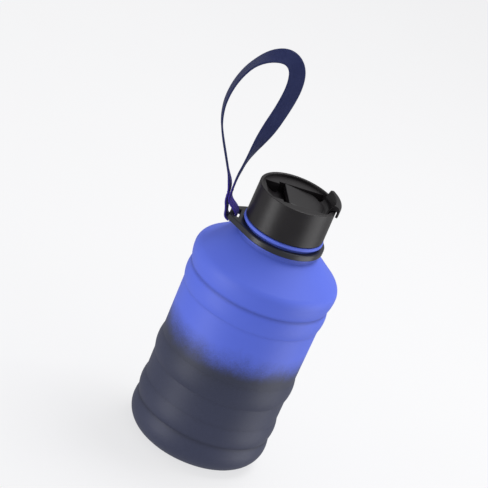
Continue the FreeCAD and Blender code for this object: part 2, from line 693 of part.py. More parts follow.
# ---------------------------------------------------------------- the strap
def soft_path(points):
    """Runs and arcs through hand-set points: a list of (start, middle or None, end) pieces in order."""
    pieces, start = [], points[0]
    for i in range(1, len(points) - 1):
        back = (points[i - 1] - points[i])
        ahead = (points[i + 1] - points[i])
        half = back.getAngle(ahead) / 2
        reach = ARC_SHARE * min(back.Length, ahead.Length)
        back.normalize()
        ahead.normalize()
        radius = reach * math.tan(half)
        inward = (back + ahead).normalize()
        middle = points[i] + inward * (radius / math.sin(half) - radius)
        pieces.append((start, None, points[i] + back * reach))
        pieces.append((points[i] + back * reach, middle, points[i] + ahead * reach))
        start = points[i] + ahead * reach
    pieces.append((start, None, points[-1]))
    return pieces


def side_line(pieces, shift):
    """The edges of a flat path moved sideways by shift, to the left where it is positive."""
    edges = []
    for start, middle, end in pieces:
        if middle is None:
            run = (end - start).normalize()
            left = Vector(-run.z, 0, run.x) * shift
            edges.append(Part.LineSegment(start + left, end + left).toShape())
            continue
        centre = Part.Arc(start, middle, end).toShape().Curve.Center
        turn = (middle - start).cross(end - middle).y
        side = -shift if turn < 0 else shift
        moved = [point + (point - centre).normalize() * side for point in (start, middle, end)]
        edges.append(Part.Arc(*moved).toShape())
    return edges


def carry_strap():
    """Woven strap: one flat band through the slot, round the loop and back to the ear's bar."""
    bar = Vector(-value(BAR_CENTRE), 0, value(BAR_HEIGHT))
    pieces = soft_path([bar + Vector(across, 0, up) for across, up in STRAP_ROUTE])
    half = value("strap_thickness") / 2
    left, right = side_line(pieces, half), side_line(pieces, -half)
    ends = [Part.LineSegment(right[i].Vertexes[j].Point, left[i].Vertexes[j].Point).toShape()
            for i, j in ((0, 0), (-1, -1))]
    face = Part.Face(Part.Wire(Part.__sortEdges__(left + right + ends)))
    width = value("strap_width")
    shape = face.extrude(Vector(0, width, 0))
    centre_line = [(Part.LineSegment(a, c) if b is None else Part.Arc(a, b, c)).toShape()
                   for a, b, c in pieces]
    length = sum(edge.Length for edge in centre_line)
    section = value("strap_thickness") * width
    print(f"strap: {length:.1f} mm long, volume {shape.Volume:.1f}, section x length {section * length:.1f}")
    radii = [edge.Curve.Radius for edge in centre_line if hasattr(edge.Curve, "Radius")]
    print("strap radii:", " ".join(f"{radius:.1f}" for radius in radii))
    strap = doc.addObject("Part::Feature", "carry_strap")
    strap.Label = "carry_strap"
    strap.Shape = shape
    strap.Placement = FreeCAD.Placement(Vector(0, -width / 2, 0), FreeCAD.Rotation())
    return strap


def strap_stitching():
    """Four bar tacks of heavy thread, two on each face of the sewn stretch."""
    bars = []
    for side, first, last, outward in (("outer", SEWN_FROM, SEWN_FROM + 1, -1),
                                       ("inner", SEWN_BACK, SEWN_BACK - 1, 1)):
        (low_x, low_z), (high_x, high_z) = STRAP_ROUTE[first], STRAP_ROUTE[last]
        for level_name, share in (("low", 0.42), ("high", 0.72)):
            across = low_x + (high_x - low_x) * share
            up = low_z + (high_z - low_z) * share
            tack = doc.addObject("Part::Box", f"{side}_{level_name}_tack")
            tack.setExpression("Length", bound("tack_thickness"))
            tack.setExpression("Width", bound("tack_width"))
            tack.setExpression("Height", bound("tack_height"))
            proud = "strap_thickness / 2 + tack_gap"
            near = f"-({BAR_CENTRE}) + ({across:.4f}) + ({outward}) * ({proud})"
            tack.setExpression("Placement.Base.x", bound(near + (" - tack_thickness" if outward < 0 else "")))
            tack.setExpression("Placement.Base.y", bound("-tack_width / 2"))
            tack.setExpression("Placement.Base.z", bound(f"{BAR_HEIGHT} + ({up:.4f}) - tack_height / 2"))
            bars.append(tack)
    group = doc.addObject("Part::Compound", "strap_stitching")
    group.Label = "strap_stitching"
    group.Links = bars
    doc.recompute()
    return group


# ---------------------------------------------------------------- build, test and write
pieces_made = [
    bottle_shell(), base_plate(), neck_finish(), strap_collar(), carry_strap(), strap_stitching(),
    cap_seal(), screw_cap(), cap_liner(), flip_lid(), lid_hinge_pin(), spout_stopper(),
]
doc.recompute()
for thing in doc.Objects:
    if {"Invalid", "Error"} & set(thing.State):
        raise SystemExit(f"{thing.Label} is {thing.State}")
for piece in pieces_made:
    if piece.Shape.isNull() or not piece.Shape.isValid() or not piece.Shape.Solids:
        raise SystemExit(f"{piece.Label} has no sound shape")
    print(f"{piece.Label:16s} {len(piece.Shape.Solids)} solid(s) {piece.Shape.Volume / 1000:9.3f} cm3")
    piece.Shape.exportStep(f"parts/{piece.Label}.step")
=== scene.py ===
"""Finishes, woven strap and studio for a ribbed carry jug with a screw cap and a folding drink lid.

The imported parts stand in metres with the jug's axis on Z and its foot at z = 0. They keep their shapes and
get their finishes here. The strap and its bar tacks are made here in full and stand for the plain ones.
"""
from __future__ import annotations

import json
import logging
import math
from collections.abc import Sequence
from dataclasses import dataclass
from enum import Enum

import bpy
from mathutils import Matrix, Vector


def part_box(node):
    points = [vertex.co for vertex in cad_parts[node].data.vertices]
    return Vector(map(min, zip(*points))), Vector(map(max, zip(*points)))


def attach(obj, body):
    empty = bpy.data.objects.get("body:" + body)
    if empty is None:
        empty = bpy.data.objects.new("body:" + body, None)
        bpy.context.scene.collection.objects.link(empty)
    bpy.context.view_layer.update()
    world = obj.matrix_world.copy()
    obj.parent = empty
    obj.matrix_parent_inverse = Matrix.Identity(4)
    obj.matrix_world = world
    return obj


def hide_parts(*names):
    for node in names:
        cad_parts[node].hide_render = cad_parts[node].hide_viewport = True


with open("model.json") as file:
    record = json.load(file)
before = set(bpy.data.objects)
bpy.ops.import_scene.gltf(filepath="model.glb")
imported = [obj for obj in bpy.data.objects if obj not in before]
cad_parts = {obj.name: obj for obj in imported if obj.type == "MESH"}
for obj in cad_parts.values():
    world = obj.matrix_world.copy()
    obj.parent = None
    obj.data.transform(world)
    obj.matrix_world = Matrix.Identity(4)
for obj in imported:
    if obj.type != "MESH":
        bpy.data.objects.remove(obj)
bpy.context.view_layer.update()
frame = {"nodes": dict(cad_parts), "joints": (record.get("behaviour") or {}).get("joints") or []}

MM = 0.001
STRAP_LENGTH = 292.0 * MM
LOG = logging.getLogger("jug")

Socket = bpy.types.NodeSocket
Feed = Socket | float | Sequence[float]


# ---------------------------------------------------------------- colours and node wiring
@dataclass(frozen=True)
class Colour:
    """A paint, resin or dye colour, as display values from 0 to 255."""

    red: float
    green: float
    blue: float

    @property
    def linear(self) -> tuple[float, float, float, float]:
        """The colour as the linear values that a shader takes."""
        def straighten(level: float) -> float:
            """Undo the display curve of one channel."""
            share = level / 255
            return share / 12.92 if share <= 0.04045 else ((share + 0.055) / 1.055) ** 2.4

        return (straighten(self.red), straighten(self.green), straighten(self.blue), 1.0)


class Bench:
    """Adds nodes to one node tree and joins them with short calls."""

    def __init__(self, tree: bpy.types.NodeTree) -> None:
        """Work on a tree.

        Args:
            tree: The material's or the group's node tree.
        """
        self.tree = tree

    def feed(self, socket: Socket, source: Feed) -> None:
        """Give an input its value, or link it.

        Args:
            socket: The input.
            source: Another node's output, a number, a vector or a colour.
        """
        if isinstance(source, Socket):
            self.tree.links.new(source, socket)
        else:
            socket.default_value = source

    def add(self, kind: str, feeds: dict[str | int, Feed] | None = None,
            **settings: object) -> bpy.types.Node:
        """Add a node.

        Args:
            kind: The node's type name.
            feeds: What goes to its inputs, by name or place.
            **settings: Its own properties.

        Returns:
            The node.
        """
        node = self.tree.nodes.new(kind)
        for name, setting in settings.items():
            setattr(node, name, setting)
        for where, source in (feeds or {}).items():
            self.feed(node.inputs[where], source)
        return node

    def sum(self, operation: str, first: Feed, second: Feed = 0.0, clamp: bool = False) -> Socket:
        """One step of arithmetic.

        Args:
            operation: The math node's operation.
            first: Its first number.
            second: Its second number.
            clamp: Whether the result stays between 0 and 1.

        Returns:
            The result.
        """
        node = self.add("ShaderNodeMath", {0: first, 1: second}, operation=operation, use_clamp=clamp)
        return node.outputs[0]

    def spread(self, source: Feed, low: Feed, high: Feed, start: Feed = 0.0, end: Feed = 1.0,
               smooth: bool = False) -> Socket:
        """Stretch a value from one range to another, held at the ends.

        Args:
            source: The value.
            low: Where the range starts.
            high: Where it ends.
            start: What low becomes.
            end: What high becomes.
            smooth: Whether the ends are eased.

        Returns:
            The stretched value.
        """
        node = self.add("ShaderNodeMapRange", {"Value": source, "From Min": low, "From Max": high,
                                               "To Min": start, "To Max": end},
                        interpolation_type="SMOOTHSTEP" if smooth else "LINEAR")
        return node.outputs["Result"]

    def blend(self, share: Feed, first: Feed, second: Feed) -> Socket:
        """Mix two colours.

        Args:
            share: How much of the second shows.
            first: The first colour.
            second: The second colour.

        Returns:
            The mixed colour.
        """
        node = self.add("ShaderNodeMix", data_type="RGBA")
        self.feed(node.inputs["Factor"], share)
        self.feed(node.inputs[6], first)
        self.feed(node.inputs[7], second)
        return node.outputs[2]

    def noise(self, place: Socket, scale: Feed, detail: float = 2.0, rough: float = 0.5) -> Socket:
        """Smooth random values in space.

        Args:
            place: Where each value is taken.
            scale: Lumps to a metre.
            detail: How many finer layers there are.
            rough: How strong those layers are.

        Returns:
            The value, from 0 to 1.
        """
        node = self.add("ShaderNodeTexNoise", {"Vector": place, "Scale": scale, "Detail": detail,
                                               "Roughness": rough})
        return node.outputs["Fac"]

    def bump(self, height: Socket, depth: float, strength: float = 1.0) -> Socket:
        """Turn a height into a normal.

        Args:
            height: The height, from 0 to 1.
            depth: What a height of 1 is, in metres.
            strength: How much of it shows.

        Returns:
            The normal.
        """
        node = self.add("ShaderNodeBump", {"Height": height, "Distance": depth, "Strength": strength})
        return node.outputs["Normal"]

    def place(self) -> Socket:
        """Places on the piece, in metres in the shared frame."""
        return self.add("ShaderNodeTexCoord").outputs["Object"]


# ---------------------------------------------------------------- effects that several finishes share
class Effect:
    """An effect kept as one node group, made at its first use and placed in each material."""

    title = ""
    takes: dict[str, tuple[str, float | tuple[float, ...]]] = {}
    gives: dict[str, str] = {}

    def wire(self, bench: Bench, given: dict[str, Socket]) -> dict[str, Socket]:
        """Build the group's inside.

        Args:
            bench: The group's bench.
            given: The group's inputs, by name.

        Returns:
            What goes to each output, by name.
        """
        raise NotImplementedError

    def tree(self) -> bpy.types.NodeTree:
        """The node group, built if it isn't there yet."""
        if self.title in bpy.data.node_groups:
            return bpy.data.node_groups[self.title]
        tree = bpy.data.node_groups.new(self.title, "ShaderNodeTree")
        for name, (kind, default) in self.takes.items():
            socket = tree.interface.new_socket(name, in_out="INPUT", socket_type=kind)
            if kind == "NodeSocketFloat":
                socket.default_value = default
        for name, kind in self.gives.items():
            tree.interface.new_socket(name, in_out="OUTPUT", socket_type=kind)
        bench = Bench(tree)
        start = bench.add("NodeGroupInput")
        end = bench.add("NodeGroupOutput")
        made = self.wire(bench, {name: start.outputs[name] for name in self.takes})
        for name, socket in made.items():
            bench.feed(end.inputs[name], socket)
        return tree

    def apply(self, bench: Bench, **feeds: Feed) -> dict[str, Socket]:
        """Place the group in a material.

        Args:
            bench: The material's bench.
            **feeds: Its inputs, by name.

        Returns:
            Its outputs, by name.
        """
        node = bench.add("ShaderNodeGroup", node_tree=self.tree())
        for name, source in feeds.items():
            bench.feed(node.inputs[name], source)
        return {name: node.outputs[name] for name in self.gives}


class FineGrain(Effect):
    """Close, even texture, as a powder coat or a spark-eroded mould leaves."""

    title = "fine_grain"
    takes = {"Place": ("NodeSocketVector", (0.0, 0.0, 0.0)), "Grains": ("NodeSocketFloat", 1500.0)}
    gives = {"Height": "NodeSocketFloat", "Shade": "NodeSocketFloat"}

    finer = 2.3
    cell_share = 0.6

    def wire(self, bench: Bench, given: dict[str, Socket]) -> dict[str, Socket]:
        """Rounded cells under a finer noise.

        Args:
            bench: The group's bench.
            given: The group's inputs, by name.

        Returns:
            The grain's height, and a shade that follows the finer noise.
        """
        cells = bench.add("ShaderNodeTexVoronoi", {"Vector": given["Place"], "Scale": given["Grains"]},
                          feature="SMOOTH_F1")
        fine = bench.noise(given["Place"], bench.sum("MULTIPLY", given["Grains"], self.finer), detail=2.0)
        height = bench.sum("ADD", bench.sum("MULTIPLY", cells.outputs["Distance"], self.cell_share),
                           bench.sum("MULTIPLY", fine, 1 - self.cell_share))
        return {"Height": height, "Shade": bench.spread(fine, 0.3, 0.7)}


class HandlingMarks(Effect):
    """Faint cloudy patches where hands have polished or greased a surface."""

    title = "handling_marks"
    takes = {"Place": ("NodeSocketVector", (0.0, 0.0, 0.0)), "Patches": ("NodeSocketFloat", 18.0)}
    gives = {"Mask": "NodeSocketFloat"}

    finer = 9.0

    def wire(self, bench: Bench, given: dict[str, Socket]) -> dict[str, Socket]:
        """Broad patches broken up by a finer noise.

        Args:
            bench: The group's bench.
            given: The group's inputs, by name.

        Returns:
            Where the marks lie.
        """
        patches = bench.noise(given["Place"], given["Patches"], detail=4.0, rough=0.6)
        broad = bench.spread(patches, 0.4, 0.68, smooth=True)
        fine = bench.noise(given["Place"], bench.sum("MULTIPLY", given["Patches"], self.finer), detail=3.0)
        return {"Mask": bench.sum("MULTIPLY", broad, bench.spread(fine, 0.25, 0.75), clamp=True)}


class EdgeWearAndHighlight(Effect):
    """Where edges are worn, with a painted highlight along outer and inner edges alike: the difference
    between the surface and a rounded copy of it.
    """

    title = "edge_wear_and_highlight"
    takes = {"Place": ("NodeSocketVector", (0.0, 0.0, 0.0)), "Reach": ("NodeSocketFloat", 0.0006)}
    gives = {"Mask": "NodeSocketFloat"}
    samples = 4
    chips = 420.0
    whole_match = 0.995
    worn_match = 0.86

    def wire(self, bench: Bench, given: dict[str, Socket]) -> dict[str, Socket]:
        """Edges found by rounding, thinned by a noise.

        Args:
            bench: The group's bench.
            given: The group's inputs, by name.

        Returns:
            Where the edges are worn and get a painted highlight.
        """
        round_off = bench.add("ShaderNodeBevel", {"Radius": given["Reach"]}, samples=self.samples)
        plain = bench.add("ShaderNodeNewGeometry").outputs["Normal"]
        match = bench.add("ShaderNodeVectorMath", {0: round_off.outputs["Normal"], 1: plain},
                          operation="DOT_PRODUCT").outputs["Value"]
        edge = bench.spread(match, self.whole_match, self.worn_match)
        chips = bench.spread(bench.noise(given["Place"], self.chips, detail=3.0), 0.35, 0.65)
        return {"Mask": bench.sum("MULTIPLY", edge, chips, clamp=True)}


class CreaseShade(Effect):
    """Painted shade in the creases, where a surface folds inward and less light gets in."""

    title = "crease_shade"
    takes = {"Reach": ("NodeSocketFloat", 0.007)}
    gives = {"Mask": "NodeSocketFloat"}
    samples = 16
    flat_share = 0.995
    crease_share = 0.93

    def wire(self, bench: Bench, given: dict[str, Socket]) -> dict[str, Socket]:
        """How little of the near surroundings is open, counting only the piece itself.

        Args:
            bench: The group's bench.
            given: The group's inputs, by name.

        Returns:
            Where the creases are, for painted shade.
        """
        around = bench.add("ShaderNodeAmbientOcclusion", {"Distance": given["Reach"]},
                           samples=self.samples, only_local=True)
        return {"Mask": bench.spread(around.outputs["AO"], self.flat_share, self.crease_share)}


class Weave(Effect):
    """Yarns that pass over and under each other, from places in yarn counts across and along."""

    title = "weave"
    takes = {"Across": ("NodeSocketFloat", 0.0), "Along": ("NodeSocketFloat", 0.0),
             "Slant": ("NodeSocketFloat", 0.5)}
    gives = {"Height": "NodeSocketFloat", "Shade": "NodeSocketFloat"}

    crown = 0.5

    def wire(self, bench: Bench, given: dict[str, Socket]) -> dict[str, Socket]:
        """Crowned floats in a chevron, with painted shade in the gaps between them.

        Args:
            bench: The group's bench.
            given: The group's inputs, by name.

        Returns:
            The yarns' height, and a painted shade that is dark in the gaps.
        """
        chevron = bench.sum("PINGPONG", bench.sum("MULTIPLY", given["Across"], given["Slant"]), 1.0)
        shifted = bench.sum("ADD", given["Along"], chevron)
        warp = bench.sum("ABSOLUTE", bench.sum("SINE", bench.sum("MULTIPLY", given["Across"], math.pi)))
        weft = bench.sum("ABSOLUTE", bench.sum("SINE", bench.sum("MULTIPLY", shifted, math.pi)))
        height = bench.sum("MULTIPLY", bench.sum("POWER", warp, self.crown),
                           bench.sum("POWER", weft, self.crown))
        return {"Height": height, "Shade": bench.spread(height, 0.2, 0.9)}


# ---------------------------------------------------------------- finishes
def new_material(name: str) -> tuple[bpy.types.Material, Bench, bpy.types.Node]:
    """Make a material with only a Principled shader and its output.

    Args:
        name: The material's name.

    Returns:
        The material, its bench and its shader.
    """
    material = bpy.data.materials.new(name)
    material.use_nodes = True
    material.node_tree.nodes.clear()
    bench = Bench(material.node_tree)
    shader = bench.add("ShaderNodeBsdfPrincipled")
    bench.add("ShaderNodeOutputMaterial", {"Surface": shader.outputs["BSDF"]})
    return material, bench, shader


@dataclass(frozen=True)
class AirbrushedCoat:
    """Matt powder coat: one colour above, another below, misted into each other by an airbrush."""

    name: str = "airbrushed_coat"
    upper: Colour = Colour(92, 116, 240)
    lower: Colour = Colour(47, 51, 70)
    overspray: Colour = Colour(44, 47, 57)
    pale_tone: Colour = Colour(150, 158, 214)
    fade_height: float = 92.5 * MM
    fade_half: float = 12.5 * MM
    cloud_depth: float = 8.0 * MM
    clouds: float = 46.0
    droplets: float = 900.0
    droplet_share: float = 0.30
    overspray_reach: float = 24.0 * MM
    drift_patches: float = 9.0
    drift_share: float = 0.10
    speckle_share: float = 0.07
    edge_reach: float = 0.7 * MM
    edge_wear_highlight_share: float = 0.10
    crease_reach: float = 4.0 * MM
    crease_shade_depth: float = 0.55
    crease_shade_value: float = 0.35
    hand_patches: float = 16.0
    hand_polish: float = 0.07
    roughness: float = 0.50
    specular: float = 0.42
    grain: float = 1300.0
    grain_depth: float = 0.05 * MM

    def mist(self, bench: Bench, place: Socket) -> tuple[Socket, Socket]:
        """Where each colour lies.

        Args:
            bench: The material's bench.
            place: Places on the piece.

        Returns:
            The share of the upper colour, and of the overspray just under it.
        """
        height = bench.add("ShaderNodeSeparateXYZ", {0: place}).outputs["Z"]
        cloud = bench.noise(place, self.clouds, detail=4.0, rough=0.62)
        drift = bench.sum("MULTIPLY", bench.sum("SUBTRACT", cloud, 0.5), 2 * self.cloud_depth)
        drifted = bench.sum("ADD", height, drift)
        soft = bench.spread(drifted, self.fade_height - self.fade_half, self.fade_height + self.fade_half,
                            smooth=True)
        drops = bench.sum("SUBTRACT", bench.noise(place, self.droplets, detail=2.0, rough=0.7), 0.5)
        room = bench.sum("MULTIPLY", bench.sum("MULTIPLY", soft, bench.sum("SUBTRACT", 1.0, soft)), 4.0)
        speckled = bench.sum("ADD", soft, bench.sum("MULTIPLY", bench.sum("MULTIPLY", drops, room),
                                                    2 * self.droplet_share), clamp=True)
        smoke = bench.spread(drifted, self.fade_height - self.overspray_reach, self.fade_height,
                             smooth=True)
        return speckled, smoke

    def material(self) -> bpy.types.Material:
        """The finished material."""
        material, bench, shader = new_material(self.name)
        place = bench.place()
        upper_share, smoke = self.mist(bench, place)
        grain = FineGrain().apply(bench, Place=place, Grains=self.grain)
        marks = HandlingMarks().apply(bench, Place=place, Patches=self.hand_patches)["Mask"]
        wear_and_highlight = EdgeWearAndHighlight().apply(bench, Place=place, Reach=self.edge_reach)["Mask"]
        lower = bench.blend(smoke, self.lower.linear, self.overspray.linear)
        coat = bench.blend(upper_share, lower, self.upper.linear)
        tone = bench.spread(bench.noise(place, self.drift_patches, detail=2.0), 0.3, 0.7, 0.0,
                            self.drift_share)
        coat = bench.blend(tone, coat, bench.blend(0.5, coat, self.pale_tone.linear))
        speckle = bench.spread(grain["Shade"], 0.0, 1.0, 0.0, self.speckle_share)
        coat = bench.blend(speckle, coat, self.pale_tone.linear)
        # Paler along the edges: worn on the outer edges, and a painted highlight along outer and inner edges
        # alike.
        coat = bench.blend(bench.sum("MULTIPLY", wear_and_highlight, self.edge_wear_highlight_share), coat, self.pale_tone.linear)
        # Painted shade: the coat is darkened in its creases, where less light gets in.
        crease = CreaseShade().apply(bench, Reach=self.crease_reach)["Mask"]
        painted_shade_colour = bench.add("ShaderNodeHueSaturation", {"Value": self.crease_shade_value, "Color": coat})
        coat = bench.blend(bench.sum("MULTIPLY", crease, self.crease_shade_depth), coat, painted_shade_colour.outputs["Color"])
        bench.feed(shader.inputs["Base Color"], coat)
        rough = bench.spread(grain["Shade"], 0.0, 1.0, self.roughness - 0.03, self.roughness + 0.05)
        polish = bench.sum("MULTIPLY", marks, self.hand_polish)
        bench.feed(shader.inputs["Roughness"], bench.sum("SUBTRACT", rough, polish))
        bench.feed(shader.inputs["Normal"], bench.bump(grain["Height"], self.grain_depth, 0.6))
        shader.inputs["Specular IOR Level"].default_value = self.specular
        return material


@dataclass(frozen=True)
class MouldedPlastic:
    """Injection-moulded resin with a fine eroded texture, edges that handling has polished, and a paler tone
    along its edges that is partly wear and partly painted highlight.
    """

    name: str
    resin: Colour
    pale_tone: Colour
    roughness: float
    grain: float = 2100.0
    grain_depth: float = 0.03 * MM
    grain_share: float = 0.10
    specular: float = 0.45
    flow_patches: float = 55.0
    flow_share: float = 0.35
    flow_tone: float = 0.22
    edge_reach: float = 0.5 * MM
    edge_wear_highlight_share: float = 0.5
    edge_polish: float = 0.08
    hand_patches: float = 34.0
    hand_polish: float = 0.06

    def material(self) -> bpy.types.Material:
        """The finished material."""
        material, bench, shader = new_material(self.name)
        place = bench.place()
        grain = FineGrain().apply(bench, Place=place, Grains=self.grain)
        marks = HandlingMarks().apply(bench, Place=place, Patches=self.hand_patches)["Mask"]
        wear_and_highlight = EdgeWearAndHighlight().apply(bench, Place=place, Reach=self.edge_reach)["Mask"]
        flow = bench.spread(bench.noise(place, self.flow_patches, detail=3.0, rough=0.55), 0.3, 0.7, 0.0,
                            self.flow_share)
        pale = bench.blend(self.flow_tone, self.resin.linear, self.pale_tone.linear)
        resin = bench.blend(flow, self.resin.linear, pale)
        speckle = bench.sum("MULTIPLY", grain["Shade"], self.grain_share)
        resin = bench.blend(speckle, resin, self.pale_tone.linear)
        # Paler along the edges: worn on the outer edges, and a painted highlight along outer and inner edges
        # alike.
        resin = bench.blend(bench.sum("MULTIPLY", wear_and_highlight, self.edge_wear_highlight_share), resin, self.pale_tone.linear)
        bench.feed(shader.inputs["Base Color"], resin)
        rough = bench.spread(grain["Shade"], 0.0, 1.0, self.roughness - 0.03, self.roughness + 0.05)
        rough = bench.sum("SUBTRACT", rough, bench.sum("MULTIPLY", marks, self.hand_polish))
        rough = bench.sum("SUBTRACT", rough, bench.sum("MULTIPLY", wear_and_highlight, self.edge_polish))
        bench.feed(shader.inputs["Roughness"], rough)
        bench.feed(shader.inputs["Normal"], bench.bump(grain["Height"], self.grain_depth, 0.6))
        shader.inputs["Specular IOR Level"].default_value = self.specular
        return material


class Brushing(Enum):
    """Which kind of face the brush lines run round."""

    ROUND = "a turned wall, its lines stacked up the jug's axis"
    SPUN = "a flat face, its lines in rings about the axis"


@dataclass(frozen=True)
class BrushedSteel:
    """Bare stainless steel with fine brush lines and a few stains."""

    name: str
    brushing: Brushing
    steel: Colour = Colour(196, 198, 200)
    stain: Colour = Colour(150, 148, 146)
    roughness: float = 0.26
    lines: float = 2600.0
    line_share: float = 0.25
    line_depth: float = 0.02 * MM
    line_stretch: float = 0.004
    edge_reach: float = 0.4 * MM
    edge_polish: float = 0.06
    hand_patches: float = 40.0
    stain_share: float = 0.5

    def material(self) -> bpy.types.Material:
        """The finished material."""
        material, bench, shader = new_material(self.name)
        place = bench.place()
        split = bench.add("ShaderNodeSeparateXYZ", {0: place})
        radius = bench.sum("SQRT", bench.sum("ADD", bench.sum("POWER", split.outputs["X"], 2.0),
                                             bench.sum("POWER", split.outputs["Y"], 2.0)))
        across = radius if self.brushing is Brushing.SPUN else split.outputs["Z"]
        turn = bench.sum("ARCTAN2", split.outputs["Y"], split.outputs["X"])
        along = bench.sum("MULTIPLY", turn, self.line_stretch)
        lane = bench.add("ShaderNodeCombineXYZ", {"X": along, "Y": across})
        brushed = bench.noise(lane.outputs[0], self.lines, detail=3.0, rough=0.7)
        marks = HandlingMarks().apply(bench, Place=place, Patches=self.hand_patches)["Mask"]
        wear_and_highlight = EdgeWearAndHighlight().apply(bench, Place=place, Reach=self.edge_reach)["Mask"]
        stained = bench.sum("MULTIPLY", marks, self.stain_share)
        steel = bench.blend(stained, self.steel.linear, self.stain.linear)
        steel = bench.blend(bench.sum("MULTIPLY", brushed, self.line_share), steel, self.stain.linear)
        bench.feed(shader.inputs["Base Color"], steel)
        rough = bench.spread(brushed, 0.3, 0.7, self.roughness - 0.06, self.roughness + 0.10)
        polish = bench.sum("MULTIPLY", wear_and_highlight, self.edge_polish)
        bench.feed(shader.inputs["Roughness"], bench.sum("SUBTRACT", rough, polish))
        bench.feed(shader.inputs["Normal"], bench.bump(brushed, self.line_depth, 0.5))
        shader.inputs["Metallic"].default_value = 1.0
        return material


@dataclass(frozen=True)
class Silicone:
    """Soft food-safe rubber with a slight bloom."""

    name: str
    rubber: Colour
    bloom: Colour
    roughness: float = 0.52
    grain: float = 900.0
    grain_depth: float = 0.02 * MM
    hand_patches: float = 90.0
    bloom_share: float = 0.6
    sheen: float = 0.15

    def material(self) -> bpy.types.Material:
        """The finished material."""
        material, bench, shader = new_material(self.name)
        place = bench.place()
        grain = FineGrain().apply(bench, Place=place, Grains=self.grain)
        marks = HandlingMarks().apply(bench, Place=place, Patches=self.hand_patches)["Mask"]
        bloomed = bench.sum("MULTIPLY", marks, self.bloom_share)
        bench.feed(shader.inputs["Base Color"],
                   bench.blend(bloomed, self.rubber.linear, self.bloom.linear))
        bench.feed(shader.inputs["Roughness"],
                   bench.spread(grain["Shade"], 0.0, 1.0, self.roughness - 0.05, self.roughness + 0.08))
        bench.feed(shader.inputs["Normal"], bench.bump(grain["Height"], self.grain_depth, 0.5))
        shader.inputs["Sheen Weight"].default_value = self.sheen
        return material


@dataclass(frozen=True)
class WovenYarn:
    """Dyed yarn woven into a band, or laid as stitches. Places on it come from its UV map, in metres."""

    name: str
    dye: Colour
    end_dye: Colour
    worn: Colour
    ends: float = 2400.0
    picks: float = 1300.0
    slant: float = 0.5
    depth: float = 0.12 * MM
    dye_start: float = 22.0 * MM
    dye_reach: float = 46.0 * MM
    length: float = 1.0
    gap_shade_value: float = 0.42
    fuzz: float = 3400.0
    fuzz_share: float = 0.14
    fuzz_depth: float = 0.03 * MM
    hand_patches: float = 60.0
    hand_share: float = 0.35
    roughness: float = 0.72
    specular: float = 0.3
    sheen: float = 0.12
    sheen_roughness: float = 0.45

    def material(self) -> bpy.types.Material:
        """The finished material."""
        material, bench, shader = new_material(self.name)
        unrolled = bench.add("ShaderNodeUVMap", uv_map="yarns")
        split = bench.add("ShaderNodeSeparateXYZ", {0: unrolled.outputs[0]})
        across, along = split.outputs["X"], split.outputs["Y"]
        weave = Weave().apply(bench, Across=bench.sum("MULTIPLY", across, self.ends),
                              Along=bench.sum("MULTIPLY", along, self.picks), Slant=self.slant)
        place = bench.place()
        marks = HandlingMarks().apply(bench, Place=place, Patches=self.hand_patches)["Mask"]
        fuzz = FineGrain().apply(bench, Place=place, Grains=self.fuzz)
        end = bench.sum("MINIMUM", along, bench.sum("SUBTRACT", self.length, along))
        dyed = bench.blend(bench.spread(end, self.dye_start, self.dye_reach, smooth=True),
                           self.end_dye.linear, self.dye.linear)
        dyed = bench.blend(bench.spread(marks, 0.0, 1.0, 0.0, self.hand_share), dyed, self.worn.linear)
        # Painted shade: the dye is darkened in the gaps between the yarns.
        painted_shade_colour = bench.add("ShaderNodeHueSaturation", {"Value": self.gap_shade_value, "Color": dyed})
        yarn = bench.blend(weave["Shade"], painted_shade_colour.outputs["Color"], dyed)
        yarn = bench.blend(bench.sum("MULTIPLY", fuzz["Shade"], self.fuzz_share), yarn, self.worn.linear)
        bench.feed(shader.inputs["Base Color"], yarn)
        bench.feed(shader.inputs["Roughness"],
                   bench.spread(weave["Shade"], 0.0, 1.0, self.roughness + 0.12, self.roughness - 0.06))
        coarse = bench.bump(weave["Height"], self.depth, 0.8)
        fine = bench.add("ShaderNodeBump", {"Height": fuzz["Height"], "Distance": self.fuzz_depth,
                                            "Strength": 0.5, "Normal": coarse})
        bench.feed(shader.inputs["Normal"], fine.outputs["Normal"])
        shader.inputs["Sheen Weight"].default_value = self.sheen
        shader.inputs["Sheen Roughness"].default_value = self.sheen_roughness
        shader.inputs["Specular IOR Level"].default_value = self.specular
        return material


# ---------------------------------------------------------------- mesh helpers
def dress(node: str, material: bpy.types.Material) -> None:
    """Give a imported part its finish.

    Args:
        node: The part's name.
        material: The finish.
    """
    for holder in frame["nodes"][node].material_slots:
        holder.material = material
    LOG.info("dressed %s in %s", node, material.name)


def swept_mesh(name: str, sections: list[list[Vector]], uvs: list[list[tuple[float, float]]],
               material: bpy.types.Material) -> bpy.types.Object:
    """Skin a row of closed sections and close its two ends.

    Args:
        name: The piece's name.
        sections: Rings of points, each with as many as the next.
        uvs: A (u, v) for each point of each ring, with one more to close the ring.
        material: The piece's finish.

    Returns:
        The piece, with smooth faces.
    """
    count = len(sections[0])
    points = [point for ring in sections for point in ring]
    faces, corners = [], []
    for row in range(len(sections) - 1):
        for i in range(count):
            j = (i + 1) % count
            faces.append((row * count + i, row * count + j, (row + 1) * count + j, (row + 1) * count + i))
            corners += [uvs[row][i], uvs[row][i + 1], uvs[row + 1][i + 1], uvs[row + 1][i]]
    last = (len(sections) - 1) * count
    faces.append(tuple(range(count))[::-1])
    faces.append(tuple(range(last, last + count)))
    corners += [uvs[0][i] for i in range(count)][::-1] + [uvs[-1][i] for i in range(count)]
    mesh = bpy.data.meshes.new(name)
    mesh.from_pydata(points, [], faces)
    layer = mesh.uv_layers.new(name="yarns")
    for loop, corner in zip(layer.data, corners, strict=True):
        loop.uv = corner
    mesh.shade_smooth()
    mesh.materials.append(material)
    piece = bpy.data.objects.new(name, mesh)
    bpy.context.scene.collection.objects.link(piece)
    return piece


